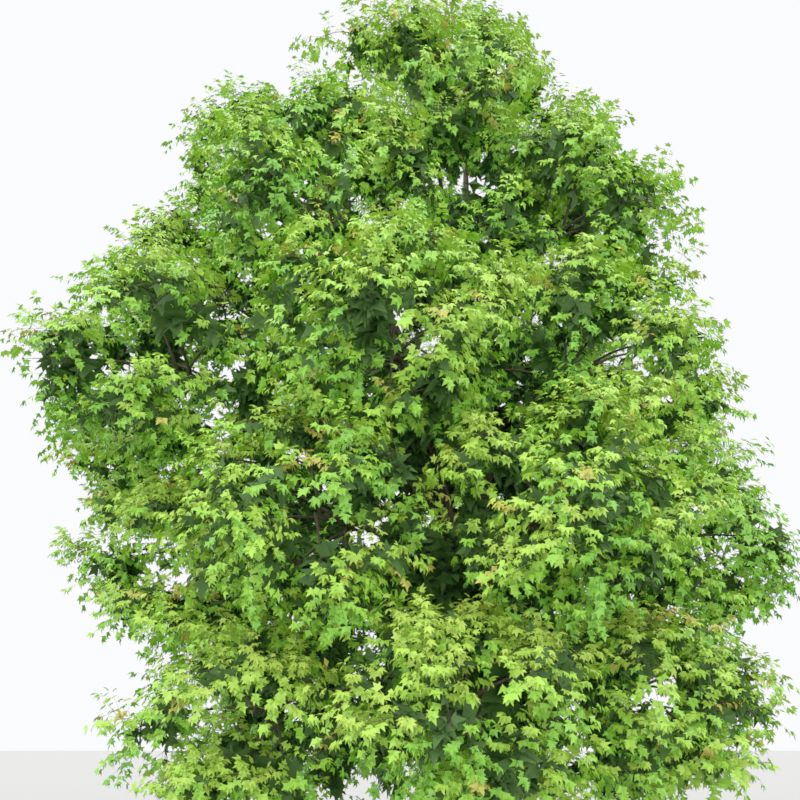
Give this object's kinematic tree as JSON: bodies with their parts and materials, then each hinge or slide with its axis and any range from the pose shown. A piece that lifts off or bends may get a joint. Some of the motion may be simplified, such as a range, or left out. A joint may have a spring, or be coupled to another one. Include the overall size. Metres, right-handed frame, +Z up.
{
  "type": "field maple tree",
  "caption": "Field maple tree in early-summer leaf: flared trunk, tapering boughs, and tiers of dense leafy masses down to a low skirt. Rooted, with a flat cut at ground level.",
  "frame": {"origin": "middle of the flat cut under the trunk, at ground level", "axes": "+Z up along the trunk, +X to the right and -Y to the front of the tree as the picture shows it"},
  "size_m": [7.7519, 7.5257, 10.2424],
  "materials": {
    "trunk_bark": "rough grey-brown ridged bark",
    "bough_bark": "fine brown bark",
    "foliage_skirt": "matt fresh green leaves",
    "foliage_lower": "matt fresh green leaves",
    "foliage_middle": "matt fresh green leaves",
    "foliage_upper": "matt fresh green leaves",
    "foliage_shoulder": "matt yellow-green leaves",
    "foliage_crest": "matt yellow-green leaves"
  },
  "bodies": {
    "root": {"bough_lower_1": "bough_bark", "bough_lower_2": "bough_bark", "bough_lower_3": "bough_bark", "bough_lower_4": "bough_bark", "bough_lower_5": "bough_bark", "bough_lower_6": "bough_bark", "bough_lower_7": "bough_bark", "bough_middle_1": "bough_bark", "bough_middle_2": "bough_bark", "bough_middle_3": "bough_bark", "bough_middle_4": "bough_bark", "bough_middle_5": "bough_bark", "bough_middle_6": "bough_bark", "bough_middle_7": "bough_bark", "bough_shoulder_1": "bough_bark", "bough_shoulder_2": "bough_bark", "bough_shoulder_3": "bough_bark", "bough_shoulder_4": "bough_bark", "bough_skirt_1": "bough_bark", "bough_skirt_2": "bough_bark", "bough_skirt_3": "bough_bark", "bough_skirt_4": "bough_bark", "bough_skirt_5": "bough_bark", "bough_skirt_6": "bough_bark", "bough_upper_1": "bough_bark", "bough_upper_2": "bough_bark", "bough_upper_3": "bough_bark", "bough_upper_4": "bough_bark", "bough_upper_5": "bough_bark", "foliage_crest": "foliage_crest", "foliage_lower_1": "foliage_lower", "foliage_lower_2": "foliage_lower", "foliage_lower_3": "foliage_lower", "foliage_lower_4": "foliage_lower", "foliage_lower_5": "foliage_lower", "foliage_lower_6": "foliage_lower", "foliage_lower_7": "foliage_lower", "foliage_middle_1": "foliage_middle", "foliage_middle_2": "foliage_middle", "foliage_middle_3": "foliage_middle", "foliage_middle_4": "foliage_middle", "foliage_middle_5": "foliage_middle", "foliage_middle_6": "foliage_middle", "foliage_middle_7": "foliage_middle", "foliage_shoulder_1": "foliage_shoulder", "foliage_shoulder_2": "foliage_shoulder", "foliage_shoulder_3": "foliage_shoulder", "foliage_shoulder_4": "foliage_shoulder", "foliage_skirt_1": "foliage_skirt", "foliage_skirt_2": "foliage_skirt", "foliage_skirt_3": "foliage_skirt", "foliage_skirt_4": "foliage_skirt", "foliage_skirt_5": "foliage_skirt", "foliage_skirt_6": "foliage_skirt", "foliage_upper_1": "foliage_upper", "foliage_upper_2": "foliage_upper", "foliage_upper_3": "foliage_upper", "foliage_upper_4": "foliage_upper", "foliage_upper_5": "foliage_upper", "trunk": "trunk_bark"}
  },
  "joints": []
}
